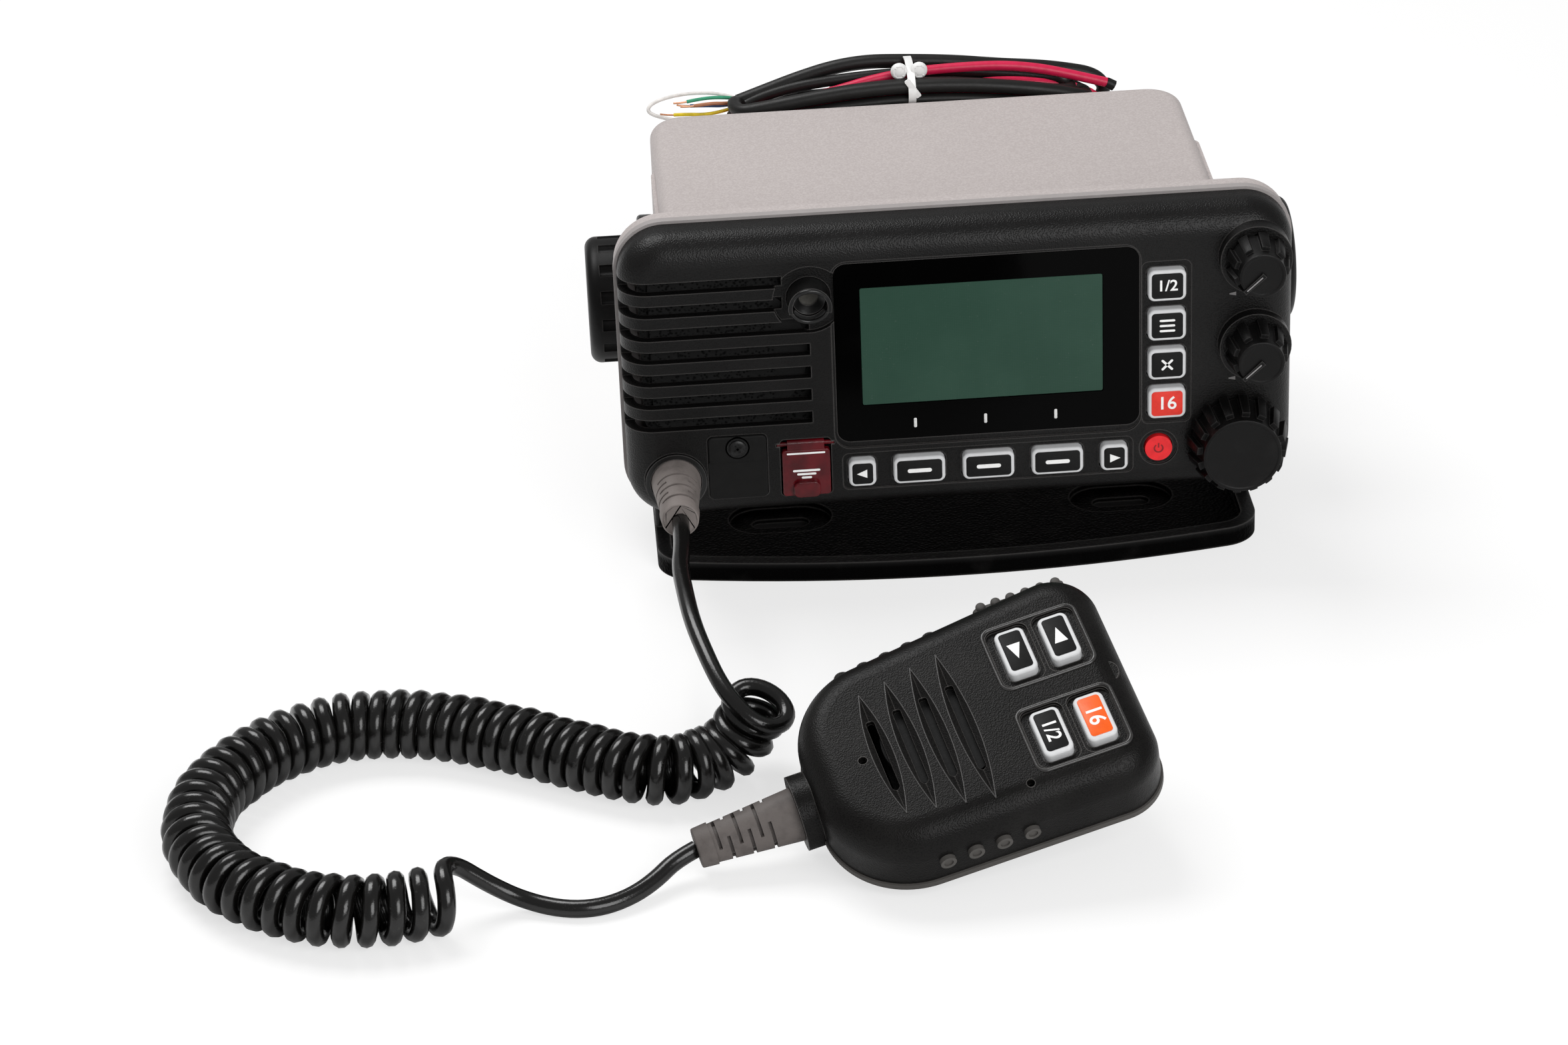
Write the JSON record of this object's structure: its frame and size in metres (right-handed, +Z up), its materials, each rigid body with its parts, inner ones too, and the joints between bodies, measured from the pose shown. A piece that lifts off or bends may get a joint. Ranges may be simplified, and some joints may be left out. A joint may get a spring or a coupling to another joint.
{
  "type": "vhf marine radio",
  "caption": "Fixed-mount VHF marine radio on a tilting bracket, with display, keys, knobs, speaker grille and a hand microphone on a curly cord.",
  "frame": {"origin": "middle of the bracket's foot, on the surface that it stands on", "axes": "+X to the right as the operator sees it, +Y to the rear, +Z up"},
  "size_m": [0.3106, 0.3469, 0.1063],
  "materials": {
    "bracket_black": "fine satin texture",
    "case_cast": "sprayed light grey over a cast case",
    "panel_black": "fine leather-like texture",
    "strip_grey": "matt",
    "window_black": "glossy",
    "screen": "dark greenish grey display, switched off",
    "key_black": "black face in a light frame",
    "key_red": "red face in a light frame",
    "key_orange": "orange face in a light frame",
    "power_red": "glossy",
    "cover_red": "dark red, clear",
    "knob_black": "satin",
    "cover_black": "matt",
    "hood_black": "satin",
    "lens": "glossy",
    "steel": "plain",
    "plated": "nickel plated",
    "rubber_black": "matt",
    "cord_black": "satin jacket",
    "boot_grey": "matt, ribbed",
    "board_green": "circuit board",
    "speaker_grey": "speaker basket",
    "mesh_black": "woven dust cover",
    "mic_black": "fine satin texture",
    "mic_grey": "matt",
    "tie_white": "paper-covered twist tie"
  },
  "bodies": {
    "stand": {"bracket": "bracket_black", "cord_lead": "cord_black", "cord_coil": "cord_black", "cord_tail": "cord_black"},
    "left_clamp": {"clamp_knob_left": "knob_black", "clamp_stud_left": "steel"},
    "right_clamp": {"clamp_knob_right": "knob_black", "clamp_stud_right": "steel"},
    "radio": {"friction_washers": "rubber_black", "front_panel": "panel_black", "panel_gasket": "strip_grey", "chassis": "case_cast", "circuit_boards": "board_green", "case_screws": "steel", "display_window": "window_black", "display_module": "screen", "speaker": "speaker_grey", "speaker_mesh": "mesh_black", "cord_ring": "hood_black", "cord_boot": "boot_grey", "indicator_hood": "hood_black", "indicator_lens": "lens", "port_cover": "cover_black", "rotary_controls": "plated", "antenna_socket": "plated", "cable_glands": "rubber_black", "rear_hank": "cord_black", "hank_tie": "tie_white", "rear_leads": "cord_black"},
    "red_cover": {"distress_cover": "cover_red"},
    "red_push": {"distress_button": "power_red"},
    "squelch": {"squelch_knob": "knob_black", "squelch_shaft": "steel"},
    "volume": {"volume_knob": "knob_black", "volume_shaft": "steel"},
    "dial_spindle": {"dial_shaft": "steel"},
    "dial": {"dial_knob": "knob_black"},
    "microphone": {"mic_front_shell": "mic_black", "mic_rear_shell": "mic_grey", "mic_seal": "mic_grey", "mic_works": "board_green", "hanger_stud": "knob_black", "mic_screws": "steel", "mic_boot": "boot_grey"},
    "talk": {"talk_key": "mic_black"},
    "mic_down": {"down_key": "key_black"},
    "mic_up": {"up_key": "key_black"},
    "mic_level": {"level_key": "key_black"},
    "mic_orange": {"orange_key": "key_orange"},
    "first_side_push": {"first_side_key": "key_black"},
    "second_side_push": {"second_side_key": "key_black"},
    "third_side_push": {"third_side_key": "key_black"},
    "red_side_push": {"red_side_key": "key_red"},
    "left_arrow_push": {"left_arrow_key": "key_black"},
    "left_soft_push": {"left_soft_key": "key_black"},
    "middle_soft_push": {"middle_soft_key": "key_black"},
    "right_soft_push": {"right_soft_key": "key_black"},
    "right_arrow_push": {"right_arrow_key": "key_black"},
    "power_push": {"power_button": "power_red"}
  },
  "joints": [
    {"name": "tilt", "type": "hinge", "parent": "stand", "child": "radio", "pos_m": [0, 0.01, 0.064], "axis": [1, 0, 0], "range_deg": [-20, 12], "deforming": ["cord_lead"]},
    {"name": "left_clamp_turn", "type": "hinge", "parent": "stand", "child": "left_clamp", "pos_m": [-0.09, 0.01, 0.064], "axis": [-1, 0, 0], "range_deg": [0, 720]},
    {"name": "right_clamp_turn", "type": "hinge", "parent": "stand", "child": "right_clamp", "pos_m": [0.09, 0.01, 0.064], "axis": [1, 0, 0], "range_deg": [0, 720]},
    {"name": "cover_hinge", "type": "hinge", "parent": "radio", "child": "red_cover", "pos_m": [-0.0422, -0.0464, 0.0438], "axis": [-1, 0, 0], "range_deg": [0, 100]},
    {"name": "red_press", "type": "slide", "parent": "radio", "child": "red_push", "axis": [0, 1, 0], "range_m": [0, 0.0012], "stiffness_N_per_m": 900, "springref_m": -0.0006},
    {"name": "squelch_turn", "type": "hinge", "parent": "radio", "child": "squelch", "pos_m": [0.0792, -0.047, 0.0915], "axis": [0, -1, 0], "range_deg": [0, 270]},
    {"name": "volume_turn", "type": "hinge", "parent": "radio", "child": "volume", "pos_m": [0.0792, -0.047, 0.066], "axis": [0, -1, 0], "range_deg": [0, 270]},
    {"name": "dial_turn", "type": "hinge", "parent": "radio", "child": "dial_spindle", "pos_m": [0.0748, -0.047, 0.0375], "axis": [0, -1, 0], "continuous": true},
    {"name": "dial_press", "type": "slide", "parent": "dial_spindle", "child": "dial", "axis": [0, 1, 0], "range_m": [0, 0.0008], "stiffness_N_per_m": 1200, "springref_m": -0.0005},
    {"name": "mic_lift", "type": "slide", "parent": "stand", "child": "microphone", "axis": [0, 0, 1], "range_m": [0, 0.15], "deforming": ["cord_tail"]},
    {"name": "talk_press", "type": "slide", "parent": "microphone", "child": "talk", "axis": [0.2282, -0.8948, -0.3836], "range_m": [0, 0.0015], "stiffness_N_per_m": 1200, "springref_m": -0.0006},
    {"name": "first_side_press", "type": "slide", "parent": "radio", "child": "first_side_push", "axis": [0, 1, 0], "range_m": [0, 0.0008], "stiffness_N_per_m": 900, "springref_m": -0.0006},
    {"name": "second_side_press", "type": "slide", "parent": "radio", "child": "second_side_push", "axis": [0, 1, 0], "range_m": [0, 0.0008], "stiffness_N_per_m": 900, "springref_m": -0.0006},
    {"name": "third_side_press", "type": "slide", "parent": "radio", "child": "third_side_push", "axis": [0, 1, 0], "range_m": [0, 0.0008], "stiffness_N_per_m": 900, "springref_m": -0.0006},
    {"name": "red_side_press", "type": "slide", "parent": "radio", "child": "red_side_push", "axis": [0, 1, 0], "range_m": [0, 0.0008], "stiffness_N_per_m": 900, "springref_m": -0.0006},
    {"name": "left_arrow_press", "type": "slide", "parent": "radio", "child": "left_arrow_push", "axis": [0, 1, 0], "range_m": [0, 0.0008], "stiffness_N_per_m": 900, "springref_m": -0.0006},
    {"name": "left_soft_press", "type": "slide", "parent": "radio", "child": "left_soft_push", "axis": [0, 1, 0], "range_m": [0, 0.0008], "stiffness_N_per_m": 900, "springref_m": -0.0006},
    {"name": "middle_soft_press", "type": "slide", "parent": "radio", "child": "middle_soft_push", "axis": [0, 1, 0], "range_m": [0, 0.0008], "stiffness_N_per_m": 900, "springref_m": -0.0006},
    {"name": "right_soft_press", "type": "slide", "parent": "radio", "child": "right_soft_push", "axis": [0, 1, 0], "range_m": [0, 0.0008], "stiffness_N_per_m": 900, "springref_m": -0.0006},
    {"name": "right_arrow_press", "type": "slide", "parent": "radio", "child": "right_arrow_push", "axis": [0, 1, 0], "range_m": [0, 0.0008], "stiffness_N_per_m": 900, "springref_m": -0.0006},
    {"name": "power_press", "type": "slide", "parent": "radio", "child": "power_push", "axis": [0, 1, 0], "range_m": [0, 0.0008], "stiffness_N_per_m": 900, "springref_m": -0.0006},
    {"name": "mic_down_press", "type": "slide", "parent": "microphone", "child": "mic_down", "axis": [0.1276, 0.4181, -0.8994], "range_m": [0, 0.0008], "stiffness_N_per_m": 900, "springref_m": -0.0006},
    {"name": "mic_up_press", "type": "slide", "parent": "microphone", "child": "mic_up", "axis": [0.1276, 0.4181, -0.8994], "range_m": [0, 0.0008], "stiffness_N_per_m": 900, "springref_m": -0.0006},
    {"name": "mic_level_press", "type": "slide", "parent": "microphone", "child": "mic_level", "axis": [0.1276, 0.4181, -0.8994], "range_m": [0, 0.0008], "stiffness_N_per_m": 900, "springref_m": -0.0006},
    {"name": "mic_orange_press", "type": "slide", "parent": "microphone", "child": "mic_orange", "axis": [0.1276, 0.4181, -0.8994], "range_m": [0, 0.0008], "stiffness_N_per_m": 900, "springref_m": -0.0006}
  ]
}
